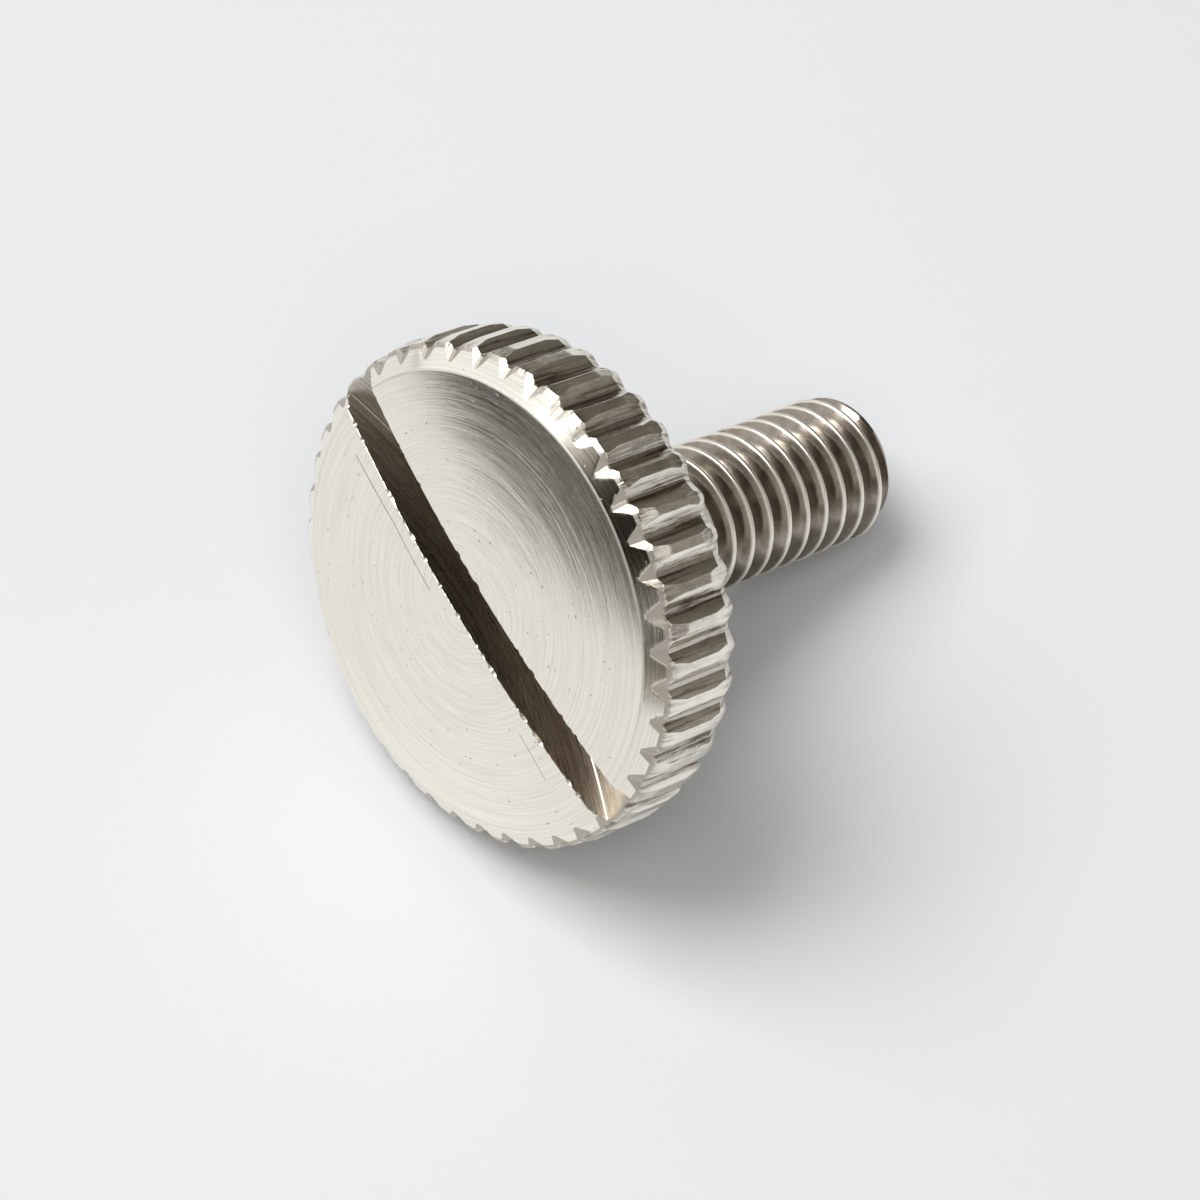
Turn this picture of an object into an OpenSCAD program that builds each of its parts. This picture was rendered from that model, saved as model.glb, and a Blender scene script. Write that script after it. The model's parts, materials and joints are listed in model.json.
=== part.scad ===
// Slotted thumb screw with a straight-knurled head, M4, turned in one piece from round bar.
// Millimetres. The screw lies as it comes to rest on a flat surface: on two ridges of the
// knurl at the back of the head and on the end of its thread.
// +Z is up and Z = 0 is the surface. +X is the way the shank points, seen from above.
// The origin is on the surface, under the middle of the screw's length.

/* [Head] */
// Diameter over the ridges of the knurl
head_d = 13.4; // [11.3:0.1:18]
// Height of the rim, from the edge of the domed face to the underside
head_h = 2.7; // [2.2:0.1:5]
// Rise of the domed face above its own edge, at the middle
dome_rise = 0.4; // [0.1:0.05:1]
// Radial width of the chamfer round the face
chamfer_w = 0.5; // [0.3:0.05:0.7]
// Height of the chamfer round the face
chamfer_h = 0.32; // [0.2:0.02:0.4]
// Radial step from the chamfer out to the front ends of the ridges
shoulder_w = 0.12; // [0.06:0.02:0.3]
// Height over which that step is turned
shoulder_h = 0.1; // [0.05:0.05:0.2]
// Drop of the ridges at both ends, which are a little lower than their middle
crown_drop = 0.08; // [0.02:0.02:0.14]
// Length over which the ridges drop, at each end
crown_l = 0.5; // [0.2:0.05:0.7]
// Radial width of the bevel at the back of the rim
back_bevel_w = 0.12; // [0.12:0.02:0.3]
// Height of the bevel at the back of the rim
back_bevel_h = 0.25; // [0.1:0.05:0.25]

/* [Knurl] */
// Number of straight grooves round the rim
groove_count = 42; // [30:2:44]
// Depth of a groove below the ridges
groove_depth = 0.216; // [0.1:0.002:0.23]
// Width of the flat at the bottom of a groove
valley_w = 0.12; // [0.06:0.02:0.2]
// Angle between the two flanks of a groove
groove_angle = 110; // [80:1:114]
// Slope of a groove's front mouth, down the chamfer
front_slope = 46; // [20:1:50]
// Angle between the flanks of the front mouth
front_mouth_angle = 150; // [110:1:154]
// Distance from the edge of the face to where the front mouth begins
front_mouth_l = 0.4; // [0.36:0.02:0.6]
// Slope of a groove's back mouth
back_slope = 30; // [10:1:36]
// Angle between the flanks of the back mouth
back_mouth_angle = 130; // [110:1:134]
// Distance from the underside to where the back mouth begins
back_mouth_l = 0.3; // [0.2:0.05:0.4]

/* [Slot] */
// Width of the screwdriver slot
slot_w = 1.2; // [0.8:0.05:2]
// Depth of the slot at the middle, from the top of the dome
slot_depth = 2.1; // [1:0.1:2.4]
// Radius of the saw that cut it, which is the curve of its floor
saw_r = 16; // [12:0.5:40]
// Distance by which the slot misses the middle of the face
slot_offset = 0.3; // [0:0.05:1]
// Turn of the slot round the screw's axis, from straight down
slot_turn = 108; // [0:1:180]

/* [Shank] */
// Outside diameter of the M4 thread
thread_d = 4; // [3:0.5:8]
// Length of the thread, from the underside of the head to its end
thread_l = 11; // [6:0.1:30]
// Size of the 45 degree chamfer at the end of the thread
tip_chamfer = 0.3; // [0.1:0.05:0.6]

/* [Hidden] */
$fn = 180;
// Size by which a cutter or an overlap runs past the surface it works on
past = 1;

head_r = head_d / 2;
face_r = head_r - crown_drop - shoulder_w - chamfer_w;
thread_r = thread_d / 2;
// Where the ridges of the knurl begin and end, from the edge of the face
ridge_front = chamfer_h + shoulder_h;
ridge_back = head_h - back_bevel_h;
// Radius of the sphere that is the domed face
dome_r = (face_r * face_r + dome_rise * dome_rise) / (2 * dome_rise);

valley_r = head_r - groove_depth;
flank = tan(groove_angle / 2);
front_flank = tan(front_mouth_angle / 2);
back_flank = tan(back_mouth_angle / 2);
groove_step = 360 / groove_count;
// Height above its bottom to which a groove's section is drawn, clear of the ridges
groove_open = groove_depth + past;

// Distance below the axis of the lowest point of the two bottom ridges, which stand on either
// side of the bottom groove, where the head has the radius r. The groove's valley has the
// radius v, and its flanks lean out by k for each unit of height. Where the flanks of next
// grooves meet below r, the ridge is a sharp edge and its top is where they meet. Where r is
// no more than the corner of the valley, there are no ridges.
function ridge_reach(r, v, k) = let(
    a = 1 + k * k,
    b = v + k * valley_w / 2,
    c = v * v + valley_w * valley_w / 4 - r * r,
    h = (sqrt(b * b - a * c) - b) / a,
    flat_top = atan2(valley_w / 2 + k * h, v + h) < groove_step / 2
) c >= 0 ? min(r, v) : flat_top ? v + h : (k * v - valley_w / 2) / (k - tan(groove_step / 2));

// Distance below the axis to which the back of the head reaches at the distance z from the
// edge of the face, where it has the radius r and is cut by the grooves and by their mouths
function head_reach(r, z) = min(
    ridge_reach(r, valley_r, flank),
    ridge_reach(r, valley_r - (z - head_h + back_mouth_l) * tan(back_slope),
        back_flank * cos(back_slope))
);

// The head can touch the surface at the back ends of its ridges or at the edge of its
// underside. Each is given by its radius and its distance from the edge of the face.
back_r = head_r - crown_drop;
head_edges = [[back_r, ridge_back], [back_r - back_bevel_w, head_h]];
// End of the full thread, which is the other place where the screw touches the surface
thread_end = head_h + thread_l - tip_chamfer;
// Angle at which the shank points down from level
tilt = max([for (e = head_edges) atan2(head_reach(e[0], e[1]) - thread_r, thread_end - e[1])]);
// Height of the middle of the face's edge above the surface
rest_z = thread_r * cos(tilt) + thread_end * sin(tilt);
// The two ends of the screw along X, from the middle of the face's edge
near_x = -face_r * sin(tilt);
far_x = (head_h + thread_l) * cos(tilt) + (thread_r - tip_chamfer) * sin(tilt);

// Everything below is drawn with the screw's axis along Z, the edge of the face at Z = 0 and
// the thread pointing up, and is then laid down by lay().

// Turned outline of the head, before knurling: chamfer, step, crowned rim and back bevel.
// The chamfer's cone runs on past the face, where the dome cuts it.
module head_blank() {
    run_on = dome_rise + past / 2;
    rotate_extrude()
        polygon([
            [0, -run_on],
            [face_r - run_on * chamfer_w / chamfer_h, -run_on],
            [face_r + chamfer_w, chamfer_h],
            [head_r - crown_drop, ridge_front],
            [head_r, ridge_front + crown_l],
            [head_r, ridge_back - crown_l],
            [back_r, ridge_back],
            [back_r - back_bevel_w, head_h],
            [0, head_h]
        ]);
}

// Sphere whose near side is the domed face
module dome() {
    translate([0, 0, dome_r - dome_rise])
        sphere(r = dome_r);
}

// Section of one groove, with its flat bottom on X = 0 and its flanks leaning out towards +X
// by k for each unit of height
module groove_section(k) {
    open_w = valley_w / 2 + groove_open * k;
    polygon([
        [0, -valley_w / 2],
        [0, valley_w / 2],
        [groove_open, open_w],
        [groove_open, -open_w]
    ]);
}

// Bar with the straight grooves all round
module knurled_bar() {
    translate([0, 0, -dome_rise - 2 * past])
        linear_extrude(head_h + dome_rise + 3 * past)
            difference() {
                circle(r = valley_r + groove_open / 2);
                for (i = [0 : groove_count - 1])
                    rotate(i * groove_step)
                        translate([valley_r, 0])
                            groove_section(flank);
            }
}

// Front mouth of the groove at angle 0. It slopes down to the face and passes through the
// groove's valley at the distance l from Z = 0. It is drawn from clear above the ridges, and
// its flanks lean out by k for each unit of height.
module groove_mouth(l, slope, k) {
    run_in = 2 * groove_depth / sin(slope);
    run_out = l + past;
    translate([valley_r, 0, l])
        rotate([0, slope, 0])
            translate([0, 0, -run_out])
                linear_extrude(run_out + run_in)
                    groove_section(k);
}

// Both mouths of the groove at angle 0. The back one is a front one turned to face the
// underside.
module groove_mouths() {
    groove_mouth(front_mouth_l, front_slope, front_flank);
    translate([0, 0, head_h])
        mirror([0, 0, 1])
            groove_mouth(back_mouth_l, back_slope, back_flank);
}

// Screwdriver slot, left by a saw blade whose middle stands out in front of the face
module saw_cut() {
    rotate([0, 0, slot_turn])
        translate([0, slot_offset, slot_depth - dome_rise - saw_r])
            rotate([90, 0, 0])
                cylinder(r = saw_r, h = slot_w, center = true);
}

// Threaded shank at the outside diameter of its thread, with the chamfered end. It starts
// inside the head, so that the two are one solid.
module shank() {
    root = past / 2;
    translate([0, 0, head_h - root])
        cylinder(r = thread_r, h = thread_end - head_h + root);
    translate([0, 0, thread_end])
        cylinder(r1 = thread_r, r2 = thread_r - tip_chamfer, h = tip_chamfer);
}

// Lays a screw drawn along Z on the surface, with the angle 0 of its knurl straight down
module lay() {
    translate([-(near_x + far_x) / 2, 0, rest_z])
        rotate([0, 90 + tilt, 0])
            children();
}

// Head with its dome, its knurl and no slot
module head() {
    difference() {
        intersection() {
            head_blank();
            dome();
            knurled_bar();
        }
        for (i = [0 : groove_count - 1])
            rotate([0, 0, i * groove_step])
                groove_mouths();
    }
}

module thumb_screw() {
    color([0.72, 0.70, 0.66])
        lay()
            difference() {
                union() {
                    head();
                    shank();
                }
                saw_cut();
            }
}

thumb_screw();
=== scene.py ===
import json
import math
from itertools import chain

import bmesh
import bpy
import numpy as np
from mathutils import Matrix, Vector


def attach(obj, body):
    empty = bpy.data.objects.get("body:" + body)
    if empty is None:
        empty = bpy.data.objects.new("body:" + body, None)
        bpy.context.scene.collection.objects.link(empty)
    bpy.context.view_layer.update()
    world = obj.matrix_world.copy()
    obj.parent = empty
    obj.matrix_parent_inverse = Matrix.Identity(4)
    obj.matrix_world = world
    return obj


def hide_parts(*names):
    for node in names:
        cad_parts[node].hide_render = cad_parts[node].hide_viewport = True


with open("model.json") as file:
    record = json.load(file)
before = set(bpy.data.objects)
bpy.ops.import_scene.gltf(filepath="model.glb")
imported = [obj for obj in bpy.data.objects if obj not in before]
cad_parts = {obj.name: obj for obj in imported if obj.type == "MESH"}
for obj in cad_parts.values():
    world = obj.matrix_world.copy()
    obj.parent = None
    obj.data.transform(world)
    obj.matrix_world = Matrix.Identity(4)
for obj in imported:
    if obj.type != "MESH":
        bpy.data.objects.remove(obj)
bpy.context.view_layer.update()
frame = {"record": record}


# ---------------------------------------------------------------------------------------------
# The screw as it lies: one turned piece that rests on its rim and on the end of its thread, so
# its axis points down. Sizes are in millimetres in the screw's own frame: x straight down from
# the axis, y sideways, z along the axis from the edge of the face towards the tip.
MM = 0.001
HEAD_H = 2.7

mounts = {m["name"]: m for m in frame["record"]["mounts"]}
full_thread_l = mounts["threaded_shank"]["dims"]["length_mm"]
axis = Vector(mounts["threaded_shank"]["axis"]).normalized()
down = (axis * axis.z - Vector((0, 0, 1))).normalized()
side = axis.cross(down)
face_middle = Vector(mounts["threaded_shank"]["pos_m"]) - axis * (HEAD_H + full_thread_l / 2) * MM
lay_down = Matrix((
    (down.x * MM, side.x * MM, axis.x * MM, face_middle.x),
    (down.y * MM, side.y * MM, axis.y * MM, face_middle.y),
    (down.z * MM, side.z * MM, axis.z * MM, face_middle.z),
    (0, 0, 0, 1),
))


# ---------------------------------------------------------------------------------------------
# The head. It is turned from round bar with a domed face, a chamfer and a slightly crowned rim,
# and a straight knurl of 42 grooves is pressed into the rim. Each groove runs out through the
# chamfer in a steeper, wider mouth, and through the back edge in another.
HEAD_R = 6.7
FACE_R = 6.0
DOME_RISE = 0.4
CHAMFER = (6.5, 0.32)
RIDGE_START = (6.62, 0.42)
CROWN_START = (6.7, 0.92)
CROWN_END = (6.7, 1.95)
RIDGE_END = (6.62, 2.45)
BACK_EDGE = (6.5, HEAD_H)

GROOVES = 42
VALLEY_R = 6.484
VALLEY_W = 0.12
DEPTH_SCATTER = 0.012
FLANK_LEAN = math.tan(math.radians(55))
FRONT_SLOPE = math.radians(46)
FRONT_LEAN = math.tan(math.radians(75)) * math.cos(FRONT_SLOPE)
FRONT_MOUTH_Z = 0.4
BACK_SLOPE = math.radians(30)
BACK_LEAN = math.tan(math.radians(65)) * math.cos(BACK_SLOPE)
BACK_MOUTH_Z = HEAD_H - 0.3

WEAR_SCATTER = 0.006
LEAST_STEP = 0.004
RIDGE_SHARES = (0.3, 0.6, 0.85)
FINER = 10
COLUMNS = 20 * GROOVES
COARSE = COLUMNS // FINER

rng = np.random.default_rng(11)
half_step = math.pi / GROOVES


def dome_z(r):
    """Height of the domed face at the radius r: a sphere through the edge of the face."""
    ball = (FACE_R**2 + DOME_RISE**2) / (2 * DOME_RISE)
    return ball - DOME_RISE - np.sqrt(ball**2 - r**2)


def blank_radius(z):
    """Radius of the head before knurling: straight lines between the turned edges."""
    corners = [(FACE_R, 0), CHAMFER, RIDGE_START, CROWN_START, CROWN_END, RIDGE_END, BACK_EDGE]
    radii, heights = zip(*corners)
    return np.interp(z, heights, radii)


def groove_radius(angle, valley, lean):
    """Radius left by a cutter with a flat bottom and two flanks that lean out by lean:
    the larger of v / cos a and (v - w / 2k) / (cos a - |sin a| / k)."""
    bottom = valley / np.cos(angle)
    flank = (valley - VALLEY_W / (2 * lean)) / (np.cos(angle) - np.abs(np.sin(angle)) / lean)
    return np.maximum(bottom, flank)


def edge_angle(radius, valley, lean):
    """Angle from a groove's middle at which its flank comes out at the radius."""
    reach = (valley - VALLEY_W / (2 * lean)) / (radius * math.hypot(1, 1 / lean))
    return np.arccos(np.clip(reach, -1, 1)) - math.atan(1 / lean)


def smooth_noise(rows, others, length):
    """Random values along rows, blurred over about length rows: noise * gaussian, scaled to 1."""
    raw = rng.standard_normal((rows, *others))
    reach = np.arange(-3 * length, 3 * length + 1)
    kernel = np.exp(-0.5 * (reach / length) ** 2)
    kernel /= np.sqrt((kernel**2).sum())
    return np.apply_along_axis(lambda line: np.convolve(line, kernel, "same"), 0, raw)


def edge_wear(nick, least, rare, deep, longest=1.0):
    """Wear of an edge: least + scatter * |nick|, and deep times what the nick has over rare."""
    return least + WEAR_SCATTER * np.abs(nick) + deep * np.clip(nick - rare, 0, longest)


def ring_points(radius, angle, z):
    """Points at radius, angle and height, in the screw's own frame: r cos a, r sin a, z."""
    radius, angle, z = np.broadcast_arrays(radius, angle, z)
    return np.stack([radius * np.cos(angle), radius * np.sin(angle), z], axis=-1)


def rim_rows(z):
    """Rings of points round the knurled rim at the heights z. A half groove holds columns at its
    middle, at the valley's corner, along the flank with one on the crease between the mouth and
    the straight groove, on both sides of the worn ridge edge, and over the ridge."""
    z = z[:, None, None]
    blank = blank_radius(z)
    straight = VALLEY_R + DEPTH_SCATTER * rng.standard_normal((1, GROOVES, 1))
    front = straight - (FRONT_MOUTH_Z - z) * math.tan(FRONT_SLOPE)
    back = straight - (z - BACK_MOUTH_Z) * math.tan(BACK_SLOPE)
    cutters = [(straight, FLANK_LEAN), (front, FRONT_LEAN), (back, BACK_LEAN)]

    deepest = np.minimum(np.minimum(front, back), straight)
    corner = np.arctan2(VALLEY_W / 2, deepest)
    edge = np.maximum.reduce([edge_angle(blank, *cutter) for cutter in cutters])
    edge = np.clip(edge, corner + LEAST_STEP, half_step - LEAST_STEP)

    in_front = z < HEAD_H / 2
    mouth = np.where(in_front, front, back)
    mouth_lean = np.where(in_front, FRONT_LEAN, BACK_LEAN)
    crease_y = VALLEY_W / 2 + (mouth - straight) / (1 / FLANK_LEAN - 1 / mouth_lean)
    crease_x = straight + (crease_y - VALLEY_W / 2) / FLANK_LEAN
    margin = 0.1 * (edge - corner)
    crease = np.clip(np.arctan2(crease_y, crease_x), corner + margin, edge - margin)

    rows = len(z)
    nick = smooth_noise(rows, (GROOVES, 2), 1.2)
    wear = edge_wear(nick, least=0.010, rare=1.3, deep=0.030, longest=1.2)
    widest = 0.3 * np.minimum(edge - crease, half_step - edge)
    sides = []
    for flank, sign in enumerate((-1, 1)):
        worn = np.minimum(wear[:, :, flank, None] / HEAD_R, widest)
        low = edge - worn
        high = edge + worn
        columns = [
            corner,
            corner + 0.5 * (crease - corner),
            crease,
            crease + 0.5 * (low - crease),
            low,
            high,
            *[high + share * (half_step - high) for share in RIDGE_SHARES],
        ]
        sides.append([sign * np.broadcast_to(c, (rows, GROOVES, 1)) for c in columns])
    ridge = np.full((rows, GROOVES, 1), half_step)
    middle = np.zeros((rows, GROOVES, 1))
    angle = np.concatenate([*sides[0][::-1], middle, *sides[1], ridge], axis=2)

    cut = [groove_radius(angle, *cutter) for cutter in cutters]
    radius = np.minimum.reduce([np.broadcast_to(blank, angle.shape), *cut])
    place = angle + 2 * half_step * np.arange(GROOVES)[None, :, None]
    height = np.broadcast_to(z, angle.shape)
    return ring_points(*[grid.reshape(rows, -1) for grid in (radius, place, height)])


rim_z = np.concatenate([
    [0.06, 0.1, 0.132, 0.14, 0.16, 0.19, 0.22, 0.25, 0.285, 0.31, CHAMFER[1], 0.345, 0.38],
    np.linspace(RIDGE_START[1], 0.64, 7),
    np.linspace(0.7, CROWN_START[1], 4),
    np.linspace(1.0, CROWN_END[1], 15),
    np.linspace(2.02, BACK_MOUTH_Z, 6),
    [RIDGE_END[1], 2.5, 2.56, 2.62, 2.67, HEAD_H],
])
rim = rim_rows(rim_z)
rim_angle = np.unwrap(np.arctan2(rim[..., 1], rim[..., 0]), axis=1)
even_angle = rim_angle[0, 0] + np.arange(COLUMNS) * 2 * math.pi / COLUMNS
coarse_angle = even_angle[4::FINER]

face_wear = edge_wear(smooth_noise(COLUMNS, (), 1.5), least=0.012, rare=1.4, deep=0.03)
worn_r = FACE_R - face_wear
worn_z = 0.6 * face_wear
face_rings = [
    np.array([[0, 0, -DOME_RISE]]),
    *[ring_points(r, coarse_angle, dome_z(r)) for r in np.linspace(0.6, 5.4, 9)],
    *[ring_points(r, even_angle, dome_z(r)) for r in (5.75, 5.9)],
    ring_points(worn_r, even_angle, dome_z(worn_r)),
    ring_points(blank_radius(worn_z), even_angle, worn_z),
]
underside_rings = [
    ring_points(6.15, even_angle, HEAD_H),
    *[ring_points(r, coarse_angle, HEAD_H) for r in (5.7, 4.6, 3.4, 2.5)],
]


# ---------------------------------------------------------------------------------------------
# The thread, M4 by 0.7, right-hand, rolled on the shank up to the head. Narrow crests stand
# between 60 degree grooves with a small round root, and the end is chamfered.
THREAD_R = 2.0
THREAD_DEPTH = 0.43
ROOT_R = THREAD_R - THREAD_DEPTH
PITCH = 0.7
CREST_W = 0.09
TIP_CHAMFER = 0.3
THREAD_END = HEAD_H + full_thread_l
TIP_Z = THREAD_END + TIP_CHAMFER

# The profile from the middle of a crest to the middle of a root: how far along, and how far in.
flank_w = (THREAD_R - ROOT_R) * math.tan(math.radians(30))
thread_steps = CREST_W / 2 + np.array([
    -CREST_W / 2, -0.02, -0.006, 0.006, 0.022,
    0.5 * flank_w, flank_w - 0.02, flank_w + 0.02, (PITCH - CREST_W) / 2,
])
thread_drops = np.array([0, 0, 0.003, 0.016, 0.038, THREAD_DEPTH / 2, 0.395, 0.426, THREAD_DEPTH])


def thread_radius(z, angle):
    """Radius of the thread at the height z and the angle: a crest that climbs by one pitch a
    turn, with its edges and its root rounded, cut by the cone of the end's chamfer."""
    phase = np.mod(z - PITCH * angle / (2 * math.pi) + PITCH / 2, PITCH) - PITCH / 2
    radius = THREAD_R - np.interp(np.abs(phase), thread_steps, thread_drops)
    return np.minimum(radius, THREAD_R - TIP_CHAMFER + TIP_Z - z)


thread_angle = np.append(coarse_angle, coarse_angle[0] + 2 * math.pi)
one_pitch = np.concatenate([thread_steps, PITCH - thread_steps[-2:0:-1]])
first_turn = math.floor((HEAD_H - PITCH) / PITCH) - 1
turns = math.ceil((TIP_Z - HEAD_H) / PITCH) + 4
thread_z = (first_turn + np.arange(turns))[:, None] * PITCH + one_pitch
thread_z = thread_z.reshape(-1, 1) + PITCH * thread_angle / (2 * math.pi)
thread_z = np.clip(thread_z, HEAD_H, TIP_Z)
thread_grid = ring_points(thread_radius(thread_z, thread_angle), thread_angle, thread_z)
thread_start_r = thread_radius(np.full(COARSE, HEAD_H), coarse_angle)
thread_start = ring_points(thread_start_r, coarse_angle, HEAD_H)
tip_r = thread_radius(np.full(COARSE, TIP_Z - 1e-9), coarse_angle)
tip_rings = [
    ring_points(tip_r, coarse_angle, TIP_Z),
    *[ring_points(r, coarse_angle, TIP_Z) for r in (1.3, 0.7)],
    np.array([[0, 0, TIP_Z]]),
]


# ---------------------------------------------------------------------------------------------
# The turned blank: one closed skin over the rings of the face, the rim, the underside, the
# thread and the tip, because the head and the shank are one piece with no seam.
TURNED, KNURLED, THREADED, SAWN = range(4)
MERGE = 1e-5


def skin(rings, finish):
    """Points, blocks of faces and the finish of a skin over rings. Rings of one count are joined
    by quads, a ring and a finer one by triangles, and a ring and a single point by a fan."""
    counts = [len(ring) for ring in rings]
    starts = np.cumsum([0] + counts)
    blocks = []
    for near, far, near_n, far_n in zip(starts, starts[1:], counts, counts[1:]):
        i = np.arange(max(near_n, far_n))
        j = (i + 1) % len(i)
        if near_n == far_n:
            blocks.append(np.stack([near + i, near + j, far + j, far + i], axis=1))
        elif near_n == 1:
            blocks.append(np.stack([np.full(far_n, near), far + j, far + i], axis=1))
        elif far_n == 1:
            blocks.append(np.stack([near + i, near + j, np.full(near_n, far)], axis=1))
        else:
            coarse, fine, n = (near, far, near_n) if near_n < far_n else (far, near, far_n)
            spoke_i = ((i + 1) // FINER) % n
            spoke_j = ((j + 1) // FINER) % n
            fans = np.stack([coarse + spoke_i, fine + j, fine + i], axis=1)
            links = np.stack([coarse + spoke_i, coarse + spoke_j, fine + j], axis=1)
            both = np.concatenate([fans, links[spoke_i != spoke_j]])
            blocks.append(both if near_n < far_n else both[:, ::-1])
    return np.concatenate(rings), blocks, finish


def open_grid(points, finish):
    """Points, one block of quads and the finish of an open grid, rows by columns."""
    rows, columns = points.shape[:2]
    index = np.arange(rows * columns).reshape(rows, columns)
    quads = np.stack([index[:-1, :-1], index[:-1, 1:], index[1:, 1:], index[1:, :-1]], axis=-1)
    return points.reshape(-1, 3), [quads.reshape(-1, 4)], finish


def mesh_of(name, shells):
    """One mesh of several shells, with the points that they share merged."""
    points = []
    faces = []
    finishes = []
    start = 0
    for shell_points, blocks, finish in shells:
        points.append(shell_points)
        faces += [(start + block).tolist() for block in blocks]
        finishes += [finish] * sum(map(len, blocks))
        start += len(shell_points)
    mesh = bpy.data.meshes.new(name)
    mesh.from_pydata(np.concatenate(points).tolist(), [], list(chain.from_iterable(faces)))
    mesh.polygons.foreach_set("material_index", np.array(finishes, np.int32))
    work = bmesh.new()
    work.from_mesh(mesh)
    bmesh.ops.remove_doubles(work, verts=work.verts, dist=MERGE)
    bmesh.ops.dissolve_degenerate(work, edges=work.edges, dist=0.1 * MERGE)
    work.to_mesh(mesh)
    work.free()
    return mesh


blank_mesh = mesh_of("screw", [
    skin([*face_rings, rim[0]], TURNED),
    skin(list(rim), KNURLED),
    skin([rim[-1], *underside_rings, thread_start], TURNED),
    open_grid(thread_grid, THREADED),
    skin(tip_rings, TURNED),
])

# The chamfer is turned, between the mouths that the knurl leaves in it.
centres = np.empty(3 * len(blank_mesh.polygons))
blank_mesh.polygons.foreach_get("center", centres)
centre_x, centre_y, centre_z = centres.reshape(-1, 3).T
finish_index = np.empty(len(blank_mesh.polygons), np.int32)
blank_mesh.polygons.foreach_get("material_index", finish_index)
at_blank = np.hypot(centre_x, centre_y) > blank_radius(centre_z) - 0.006
on_chamfer = (centre_z < CHAMFER[1]) & at_blank
finish_index[on_chamfer & (finish_index == KNURLED)] = TURNED
blank_mesh.polygons.foreach_set("material_index", finish_index)


# ---------------------------------------------------------------------------------------------
# The screwdriver slot, left by a saw blade whose arbor stands out in front of the face. The
# blade's corners are slightly worn, and the edges that it left are broken and nicked.
SLOT_W = 1.2
SLOT_DEPTH = 2.1
SAW_R = 16.0
SLOT_OFFSET = 0.3
SLOT_TURN = math.radians(108)
SAW_CORNER = 0.025
SAW_Z = SLOT_DEPTH - DOME_RISE - SAW_R
SAW_HALF_L = 7.4
SAW_STEPS = 371
CLEAR_Z = -2.0
LIP_FLARE = 0.5


def front_z(r):
    """Height of the face and its chamfer at the radius r, before knurling."""
    slope = CHAMFER[1] / (CHAMFER[0] - FACE_R)
    return np.where(r < FACE_R, dome_z(np.minimum(r, FACE_R)), slope * (r - FACE_R))


def saw_path():
    """The space that the saw sweeps: a profile of worn corners, walls and flared lips, carried
    along the slot. Its floor is the saw's circle, and its lips follow the face."""
    along = np.linspace(-SAW_HALF_L, SAW_HALF_L, SAW_STEPS)
    floor_z = SAW_Z + np.sqrt(SAW_R**2 - along**2)
    clear_z = np.full_like(along, CLEAR_Z)
    walls = []
    for sign in (-1, 1):
        wall = np.full_like(along, SLOT_OFFSET + sign * SLOT_W / 2)
        worn = edge_wear(smooth_noise(len(along), (), 1.3), least=0.010, rare=0.8, deep=0.04)
        lip = np.minimum(front_z(np.hypot(along, wall)) + worn, floor_z - SAW_CORNER - 0.01)
        walls.append((wall, lip))
    (left, left_lip), (right, right_lip) = walls
    profile = [
        (left, left_lip),
        (left - LIP_FLARE, left_lip - LIP_FLARE),
        (left - LIP_FLARE, clear_z),
        (right + LIP_FLARE, clear_z),
        (right + LIP_FLARE, right_lip - LIP_FLARE),
        (right, right_lip),
        (right, floor_z - SAW_CORNER),
        (right - SAW_CORNER, floor_z),
        (left + SAW_CORNER, floor_z),
        (left, floor_z - SAW_CORNER),
    ]
    across = np.stack([offset for offset, _ in profile], axis=1)
    height = np.stack([z for _, z in profile], axis=1)
    points = np.stack([
        along[:, None] * math.cos(SLOT_TURN) - across * math.sin(SLOT_TURN),
        along[:, None] * math.sin(SLOT_TURN) + across * math.cos(SLOT_TURN),
        height,
    ], axis=-1)
    vertices, blocks, finish = skin(list(points), SAWN)
    near_end = np.arange(len(profile))[::-1]
    far_end = np.arange(len(vertices) - len(profile), len(vertices))
    return vertices, [*blocks, np.stack([near_end, far_end])], finish


saw_mesh = mesh_of("saw", [saw_path()])


# ---------------------------------------------------------------------------------------------
# The metal. Free-machining steel, bright and slightly warm. Each cut leaves its own marks:
# turning leaves rings round the axis, the knurl lines along it, and the saw arcs round its arbor.
METAL = (0.94, 0.90, 0.81)
# A dark brown for real oxide, dirt and heat tint. In the knurl's grooves, mouths and back bevel, and in
# the thread's grooves, it also stands for painted shade.
OXIDE_AND_SHADE = (0.15, 0.11, 0.08)


def feed(tree, target, value):
    """Links a socket to the target, or sets a plain value there."""
    if isinstance(value, bpy.types.NodeSocket):
        tree.links.new(value, target)
    else:
        target.default_value = value


def maths(tree, operation, *values):
    """A Math node: one operation on sockets or numbers."""
    node = tree.nodes.new("ShaderNodeMath")
    node.operation = operation
    for target, value in zip(node.inputs, values):
        feed(tree, target, value)
    return node.outputs[0]


def scaled(tree, value, factor):
    """The value times the factor."""
    return maths(tree, "MULTIPLY", value, factor)


def total(tree, *parts):
    """The sum of the parts, each a value and its weight."""
    values = [scaled(tree, value, weight) for value, weight in parts]
    result = values[0]
    for value in values[1:]:
        result = maths(tree, "ADD", result, value)
    return result


def largest(tree, *values):
    """The largest of the values."""
    result = values[0]
    for value in values[1:]:
        result = maths(tree, "MAXIMUM", result, value)
    return result


def length(tree, a, b):
    """The root of a squared plus b squared."""
    squares = maths(tree, "ADD", maths(tree, "MULTIPLY", a, a), maths(tree, "MULTIPLY", b, b))
    return maths(tree, "SQRT", squares)


def mix(tree, share, first, second):
    """first where share is 0, second where it is 1."""
    return maths(tree, "MULTIPLY_ADD", share, maths(tree, "SUBTRACT", second, first), first)


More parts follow.
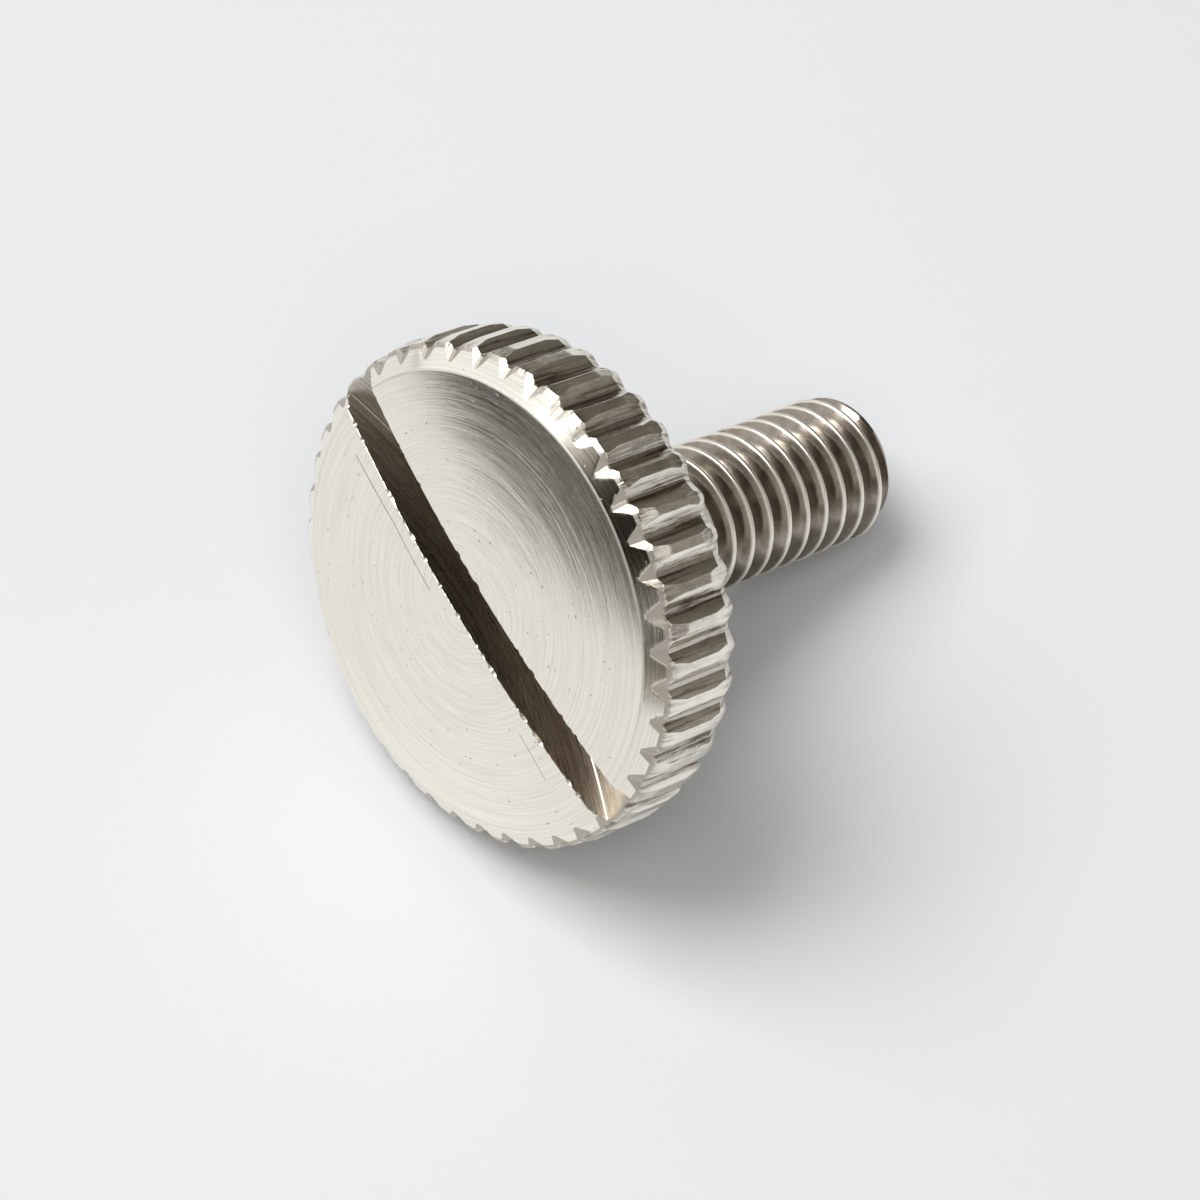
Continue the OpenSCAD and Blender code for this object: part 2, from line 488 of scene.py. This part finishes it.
def ramp(tree, value, low, high, at_low=0.0, at_high=1.0):
    """A value that goes from at_low to at_high while the input goes from low to high."""
    node = tree.nodes.new("ShaderNodeMapRange")
    for target, number in zip(node.inputs, (value, low, high, at_low, at_high)):
        feed(tree, target, number)
    return node.outputs[0]


def point(tree, *values):
    """A point of three values."""
    node = tree.nodes.new("ShaderNodeCombineXYZ")
    for target, value in zip(node.inputs, values):
        feed(tree, target, value)
    return node.outputs[0]


def stretched(tree, place, density):
    """The point at the place, with each of its three values times its density."""
    return point(tree, *[scaled(tree, value, factor) for value, factor in zip(place, density)])


def noise(tree, place, density, detail=2.0, roughness=0.5):
    """Noise from 0 to 1 at the place, with density features to each unit of its three values."""
    node = tree.nodes.new("ShaderNodeTexNoise")
    node.inputs["Scale"].default_value = 1
    node.inputs["Detail"].default_value = detail
    node.inputs["Roughness"].default_value = roughness
    tree.links.new(stretched(tree, place, density), node.inputs["Vector"])
    return node.outputs["Fac"]


def specks(tree, place, density, size, share):
    """1 in small spots of about the size, at a share of the cells, and 0 elsewhere."""
    node = tree.nodes.new("ShaderNodeTexVoronoi")
    node.inputs["Scale"].default_value = 1
    tree.links.new(stretched(tree, place, density), node.inputs["Vector"])
    chance = tree.nodes.new("ShaderNodeSeparateXYZ")
    tree.links.new(node.outputs["Color"], chance.inputs[0])
    kept = ramp(tree, chance.outputs[0], 1 - share, 1, 0.001, 1)
    return ramp(tree, maths(tree, "DIVIDE", node.outputs["Distance"], kept), size, 0.4 * size)


def scratch(tree, x, y, start, end, width):
    """1 along a straight scratch between two places on the face, and 0 away from it: the
    distance from the nearest place on the line."""
    span = (end[0] - start[0], end[1] - start[1])
    from_x = maths(tree, "SUBTRACT", x, start[0])
    from_y = maths(tree, "SUBTRACT", y, start[1])
    share = maths(tree, "MULTIPLY_ADD", from_x, span[0], scaled(tree, from_y, span[1]))
    share = ramp(tree, share, 0, span[0] ** 2 + span[1] ** 2)
    off_x = maths(tree, "MULTIPLY_ADD", share, -span[0], from_x)
    off_y = maths(tree, "MULTIPLY_ADD", share, -span[1], from_y)
    off = maths(tree, "MULTIPLY_ADD", off_x, off_x, maths(tree, "MULTIPLY", off_y, off_y))
    return ramp(tree, off, width**2, 0.1 * width**2)


def metal(name):
    """A bright metal, with the place in the screw's own frame in millimetres: x, y, z, the
    distance r from the axis, and the cosine and sine of the angle round it."""
    material = bpy.data.materials.new(name)
    material.use_nodes = True
    tree = material.node_tree
    shader = tree.nodes["Principled BSDF"]
    shader.inputs["Metallic"].default_value = 1
    place = tree.nodes.new("ShaderNodeTexCoord")
    mapping = tree.nodes.new("ShaderNodeMapping")
    to_own = lay_down.inverted()
    mapping.inputs["Scale"].default_value = to_own.to_scale()
    mapping.inputs["Rotation"].default_value = to_own.to_euler()
    mapping.inputs["Location"].default_value = to_own.to_translation()
    tree.links.new(place.outputs["Object"], mapping.inputs["Vector"])
    split = tree.nodes.new("ShaderNodeSeparateXYZ")
    tree.links.new(mapping.outputs[0], split.inputs[0])
    x, y, z = split.outputs
    r = maths(tree, "MAXIMUM", length(tree, x, y), 0.01)
    cos = maths(tree, "DIVIDE", x, r)
    sin = maths(tree, "DIVIDE", y, r)
    return material, tree, shader, (x, y, z, r, cos, sin)


def finish_with(tree, shader, height, dirt_and_shade, roughness):
    """Bump from a height in micrometres, a colour that goes from METAL to a dark oxide brown as
    the darkening rises (real oxide and dirt, and in places painted shade), and a roughness."""
    bump = tree.nodes.new("ShaderNodeBump")
    bump.inputs["Distance"].default_value = 1e-6
    tree.links.new(height, bump.inputs["Height"])
    tree.links.new(bump.outputs[0], shader.inputs["Normal"])
    colour = tree.nodes.new("ShaderNodeMix")
    colour.data_type = "RGBA"
    colour.inputs["A"].default_value = (*METAL, 1)
    colour.inputs["B"].default_value = (*OXIDE_AND_SHADE, 1)
    tree.links.new(dirt_and_shade, colour.inputs["Factor"])
    tree.links.new(colour.outputs["Result"], shader.inputs["Base Color"])
    tree.links.new(roughness, shader.inputs["Roughness"])


def turned_metal():
    """Turned faces: fine tool rings round the axis, pits, short strokes and a few straight
    scratches over them, and a worn bright edge round the face."""
    material, tree, shader, (x, y, z, r, cos, sin) = metal("turned steel")
    around = (r, cos, sin)
    rings = noise(tree, around, (21, 1.3, 1.3), detail=4, roughness=0.75)
    broad = noise(tree, around, (9, 2.2, 2.2), detail=3, roughness=0.7)
    swirl = noise(tree, around, (1.6, 1.2, 1.2))
    pits = specks(tree, (x, y, z), (3.6, 3.6, 3.6), size=0.13, share=0.8)
    strokes = specks(tree, around, (9, 12, 12), size=0.20, share=0.45)
    marks = largest(tree, pits, strokes)
    cuts = largest(
        tree,
        scratch(tree, x, y, (-0.78, 4.96), (-0.27, 3.04), width=0.022),
        scratch(tree, x, y, (-0.27, 3.04), (0.42, 1.09), width=0.018),
        scratch(tree, x, y, (1.79, -3.03), (2.37, -4.18), width=0.018),
    )
    height = total(tree, (rings, 2.0), (broad, 1.7), (swirl, 5.0), (marks, -3.0), (cuts, -2.0))
    in_rings = ramp(tree, rings, 0.6, 0.32, at_high=0.22)
    dirt_and_shade = largest(tree, scaled(tree, marks, 0.8), in_rings, scaled(tree, cuts, 0.6))
    off_edge = maths(tree, "ABSOLUTE", maths(tree, "SUBTRACT", r, FACE_R))
    edge = ramp(tree, off_edge, 0.05, 0.02)
    roughness = largest(tree, ramp(tree, rings, 0.3, 0.7, 0.12, 0.18), scaled(tree, edge, 0.42))
    finish_with(tree, shader, height, dirt_and_shade, roughness)
    return material


def knurled_metal():
    """Pressed grooves: drag lines along the screw, oxide and painted shade in the grooves, bright worn
    ridges, and plain mouths; the mouths and the back bevel are darkened by painted shade."""
    material, tree, shader, (x, y, z, r, cos, sin) = metal("knurled steel")
    lines = noise(tree, (cos, sin, z), (60, 60, 0.35), detail=3, roughness=0.6)
    mottle = noise(tree, (x, y, z), (5, 5, 2.6), detail=3, roughness=0.6)
    pits = specks(tree, (x, y, z), (4.2, 4.2, 3), size=0.14, share=0.4)
    drawn = ramp(tree, r, HEAD_R - 0.03, HEAD_R - 0.09, at_low=0.25)
    mouth = ramp(tree, z, FRONT_MOUTH_Z + 0.04, FRONT_MOUTH_Z - 0.04)
    bevel_shade = ramp(tree, z, BACK_MOUTH_Z + 0.02, BACK_MOUTH_Z + 0.1)
    drag = maths(tree, "MULTIPLY", scaled(tree, lines, 14.0), drawn)
    height = total(tree, (drag, 1.0), (mottle, 12.0), (pits, -6.0))
    # Darker in the grooves: real oxide, and painted shade for the dark reflections of the flanks.
    groove_oxide_and_shade = ramp(tree, r, HEAD_R - 0.2, HEAD_R - 0.04, 0.40, 0.0)
    streaks = maths(tree, "MULTIPLY", ramp(tree, lines, 0.5, 0.42, at_high=0.5), drawn)
    patchy = ramp(tree, mottle, 0.5, 0.35, at_high=0.15)
    dirt_and_shade = total(tree, (groove_oxide_and_shade, 1.0), (streaks, 1.0), (patchy, 1.0))
    # The back bevel is darkened a little: painted shade that dims its bright reflection.
    dirt_and_shade = largest(tree, dirt_and_shade, scaled(tree, pits, 0.8), scaled(tree, bevel_shade, 0.3))
    # The mouths take a middle darkness: painted shade that dims their bright reflections.
    dirt_and_shade = mix(tree, mouth, dirt_and_shade, 0.55)
    polish = ramp(tree, mottle, 0.35, 0.65, 0.10, 0.18)
    finish_with(tree, shader, height, dirt_and_shade, largest(tree, polish, scaled(tree, mouth, 0.42)))
    return material


def threaded_metal():
    """Rolled thread: fine lines along the turns, and oxide with painted shade except on the worn crests.
    """
    material, tree, shader, (x, y, z, r, cos, sin) = metal("threaded steel")
    crest = (THREAD_R - 0.07, THREAD_R - 0.015)
    lines = noise(tree, (r, z, cos), (16, 14, 1.2), detail=3, roughness=0.7)
    mottle = noise(tree, (x, y, z), (3, 3, 3), detail=3, roughness=0.6)
    height = total(tree, (lines, 1.0), (mottle, 2.5))
    # Darker everywhere but on the crests: real oxide, and painted shade for the dark reflections of the
    # flanks and roots.
    groove_oxide_and_shade = ramp(tree, r, *crest, 0.75, 0.0)
    dirt_and_shade = maths(tree, "ADD", groove_oxide_and_shade, ramp(tree, mottle, 0.6, 0.3, at_high=0.12))
    finish_with(tree, shader, height, dirt_and_shade, ramp(tree, r, *crest, 0.17, 0.30))
    return material


def sawn_metal():
    """Sawn walls and floor: arcs round the saw's arbor, and thin wandering chatter lines along
    the half-way contour of a noise, all darkened by heat and cutting oil."""
    material, tree, shader, (x, y, z, r, cos, sin) = metal("sawn steel")
    along = total(tree, (x, math.cos(SLOT_TURN)), (y, math.sin(SLOT_TURN)))
    across = total(tree, (y, math.cos(SLOT_TURN)), (x, -math.sin(SLOT_TURN)))
    arc = length(tree, along, maths(tree, "SUBTRACT", z, SAW_Z))
    lines = noise(tree, (arc, along, across), (26, 0.3, 18), detail=4, roughness=0.75)
    wander = noise(tree, (along, arc, across), (2.2, 1.2, 1.2), detail=1)
    off_contour = maths(tree, "ABSOLUTE", maths(tree, "SUBTRACT", wander, 0.5))
    chatter = ramp(tree, off_contour, 0.01, 0.003)
    height = total(tree, (lines, 3.0), (chatter, 1.5))
    dirt_and_shade = ramp(tree, lines, 0.36, 0.61, 0.8, 0.44)
    finish_with(tree, shader, height, dirt_and_shade, ramp(tree, lines, 0.3, 0.7, 0.22, 0.32))
    return material


# ---------------------------------------------------------------------------------------------
# The finished screw: the slot is sawn into the blank, and the screw is laid down. Its edges are
# sharp over 10 degrees, except on the rounded thread, where they are sharp over 40.
SHARP = 10
THREAD_SHARP = 40

finishes = [turned_metal(), knurled_metal(), threaded_metal(), sawn_metal()]
for mesh in (blank_mesh, saw_mesh):
    for finish in finishes:
        mesh.materials.append(finish)
screw = bpy.data.objects.new("turned_screw", blank_mesh)
saw = bpy.data.objects.new("saw", saw_mesh)
for made in (screw, saw):
    bpy.context.scene.collection.objects.link(made)
cut = screw.modifiers.new("slot", "BOOLEAN")
cut.operation = "DIFFERENCE"
cut.solver = "EXACT"
cut.material_mode = "INDEX"
cut.object = saw
cut_screw = screw.evaluated_get(bpy.context.evaluated_depsgraph_get())
cut_mesh = bpy.data.meshes.new_from_object(cut_screw)
screw.modifiers.clear()
screw.data = cut_mesh
bpy.data.objects.remove(saw)
cut_mesh.transform(lay_down)
cut_mesh.shade_smooth()


def sharp_over(mesh, degrees):
    """Marks the mesh's edges that turn by more than the angle as sharp, and returns the marks."""
    mesh.set_sharp_from_angle(angle=math.radians(degrees))
    marks = np.zeros(len(mesh.edges), bool)
    if "sharp_edge" in mesh.attributes:
        mesh.attributes["sharp_edge"].data.foreach_get("value", marks)
    return marks


def threaded_edges(mesh):
    """Which of the mesh's edges have both ends on a threaded face."""
    corner_at = np.empty(len(mesh.loops), np.int32)
    mesh.loops.foreach_get("vertex_index", corner_at)
    corners = np.empty(len(mesh.polygons), np.int32)
    mesh.polygons.foreach_get("loop_total", corners)
    finish_of = np.empty(len(mesh.polygons), np.int32)
    mesh.polygons.foreach_get("material_index", finish_of)
    on_thread = np.zeros(len(mesh.vertices), bool)
    on_thread[corner_at[np.repeat(finish_of == THREADED, corners)]] = True
    ends = np.empty(2 * len(mesh.edges), np.int32)
    mesh.edges.foreach_get("vertices", ends)
    return on_thread[ends.reshape(-1, 2)].all(axis=1)


thread_marks = sharp_over(cut_mesh, THREAD_SHARP)
marks = np.where(threaded_edges(cut_mesh), thread_marks, sharp_over(cut_mesh, SHARP))
cut_mesh.attributes["sharp_edge"].data.foreach_set("value", marks)

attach(screw, "root")
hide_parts("thumb_screw")


# ---------------------------------------------------------------------------------------------
# The floor: a sheet of plain pale card, matt and without a pattern, that runs on to the
# horizon. It only stands under the screw and is no part of it.
FLOOR = (0.81, 0.82, 0.83)
FLOOR_HALF = 2

floor_mesh = bpy.data.meshes.new("floor")
floor_corners = [(FLOOR_HALF * x, FLOOR_HALF * y, 0) for x, y in ((-1, -1), (1, -1), (1, 1), (-1, 1))]
floor_mesh.from_pydata(floor_corners, [], [(0, 1, 2, 3)])
floor = bpy.data.objects.new("floor", floor_mesh)
bpy.context.scene.collection.objects.link(floor)
card = bpy.data.materials.new("pale card")
card.use_nodes = True
card.node_tree.nodes["Principled BSDF"].inputs["Base Color"].default_value = (*FLOOR, 1)
card.node_tree.nodes["Principled BSDF"].inputs["Roughness"].default_value = 0.9
floor_mesh.materials.append(card)


# ---------------------------------------------------------------------------------------------
# The lamps of a small studio: a large soft one behind and above the head, which throws the
# shadow and the sparkle, and one on the camera's side, which only fills the shadow.
LAMP_SIZE = 0.30
LAMP_DISTANCE = 0.45


def way(azimuth, elevation):
    """Unit vector to an azimuth and an elevation in degrees."""
    a = math.radians(azimuth)
    e = math.radians(elevation)
    return Vector((math.cos(a) * math.cos(e), math.sin(a) * math.cos(e), math.sin(e)))


def softbox(name, azimuth, elevation, radiance):
    """A square lamp that faces the screw."""
    lamp = bpy.data.lights.new(name, "AREA")
    lamp.size = LAMP_SIZE
    lamp.energy = radiance * math.pi * LAMP_SIZE * LAMP_SIZE
    made = bpy.data.objects.new(name, lamp)
    bpy.context.scene.collection.objects.link(made)
    made.location = way(azimuth, elevation) * LAMP_DISTANCE
    made.rotation_euler = way(azimuth, elevation).to_track_quat("Z", "Y").to_euler()
    made.visible_camera = False
    return made


softbox("key", 122, 63, radiance=5.65)
softbox("fill", -128, 60, radiance=2.2).visible_glossy = False


# ---------------------------------------------------------------------------------------------
# The dark edge: a low strip of black felt that stands behind the head at the far side of the
# table. Only mirroring metal sees it, as the dark crescent on the face.
EDGE_AZIMUTH = 152
EDGE_AT = 0.064
EDGE_W = 0.09
EDGE_FOOT = 0.0002
EDGE_H = 0.0095
FELT = (0.045, 0.035, 0.02)

middle = way(EDGE_AZIMUTH, 0) * EDGE_AT
reach = way(EDGE_AZIMUTH + 90, 0) * EDGE_W / 2
foot = Vector((0, 0, EDGE_FOOT))
top = Vector((0, 0, EDGE_H))
edge_corners = [middle - reach + foot, middle + reach + foot, middle + reach + top, middle - reach + top]
edge_mesh = bpy.data.meshes.new("dark_edge")
edge_mesh.from_pydata(edge_corners, [], [(0, 1, 2, 3)])
dark_edge = bpy.data.objects.new("dark_edge", edge_mesh)
bpy.context.scene.collection.objects.link(dark_edge)
felt = bpy.data.materials.new("black felt")
felt.use_nodes = True
felt.node_tree.nodes["Principled BSDF"].inputs["Base Color"].default_value = (*FELT, 1)
felt.node_tree.nodes["Principled BSDF"].inputs["Roughness"].default_value = 1
edge_mesh.materials.append(felt)
dark_edge.visible_camera = False
dark_edge.visible_diffuse = False
dark_edge.visible_shadow = False


# ---------------------------------------------------------------------------------------------
# The room: pale walls, a ceiling and a few cards and dark flags, all soft and out of sight. The
# metal mirrors them, the floor gets an even light, and the horizon has the colour of the floor.
AMBIENT = 0.15
WALL = 0.25
WARMTH = (0.96, 1.0, 1.09)

# Each patch: azimuth, elevation, how far it is at its full level, where it ends, and its level.
patches = {
    "left wall": (220, 30, 35, 70, 0.62),
    "window wall": (130, 20, 24, 48, 1.0),
    "ceiling": (150, 78, 15, 40, 0.8),
    "right card": (318, 38, 8, 20, 0.7),
    "right flag": (15, 30, 18, 40, 0.12),
    "left flag": (190, 28, 17, 40, 0.01),
    "far wall": (157, 3, 8, 18, 0.14),
    "camera side": (227, 28, 12, 24, 0.8),
    "low lamp": (187, 6, 4, 12, 1.0),
}
world = bpy.data.worlds.new("studio")
bpy.context.scene.world = world
world.use_nodes = True
tree = world.node_tree
direction = tree.nodes.new("ShaderNodeTexCoord").outputs["Generated"]
radiance = WALL
for name, (azimuth, elevation, inner, outer, level) in patches.items():
    near = tree.nodes.new("ShaderNodeVectorMath")
    near.label = name
    near.operation = "DOT_PRODUCT"
    tree.links.new(direction, near.inputs[0])
    near.inputs[1].default_value = way(azimuth, elevation)
    ends = (math.cos(math.radians(outer)), math.cos(math.radians(inner)))
    mask = ramp(tree, near.outputs["Value"], *ends)
    mask.node.interpolation_type = "SMOOTHSTEP"
    radiance = mix(tree, mask, radiance, level)
rays = tree.nodes.new("ShaderNodeLightPath")
levels = []
for level, power in zip(FLOOR, WARMTH):
    seen = maths(tree, "POWER", radiance, power)
    seen = mix(tree, rays.outputs["Is Glossy Ray"], AMBIENT, seen)
    levels.append(mix(tree, rays.outputs["Is Camera Ray"], seen, level))
tree.links.new(point(tree, *levels), tree.nodes["Background"].inputs["Color"])


# ---------------------------------------------------------------------------------------------
# The camera: a long lens on a stand, 13 cm away, that looks down on the head. It is rolled by
# about a degree.
CAMERA_AZIMUTH = -130.360
CAMERA_ELEVATION = 56.488
CAMERA_ROLL = math.radians(1.0656)
CAMERA_DISTANCE = 0.13
AIM = Vector((-0.001393, -0.000126, 0.0034))

camera = bpy.data.objects.new("camera", bpy.data.cameras.new("camera"))
bpy.context.scene.collection.objects.link(camera)
bpy.context.scene.camera = camera
camera.data.lens = 150
camera.data.sensor_width = 36
camera.data.clip_start = 0.001
camera.data.clip_end = 10
toward_camera = way(CAMERA_AZIMUTH, CAMERA_ELEVATION)
turn = toward_camera.to_track_quat("Z", "Y").to_matrix() @ Matrix.Rotation(CAMERA_ROLL, 3, "Z")
camera.matrix_world = Matrix.Translation(AIM + CAMERA_DISTANCE * toward_camera) @ turn.to_4x4()
bpy.context.scene.view_settings.view_transform = "Standard"
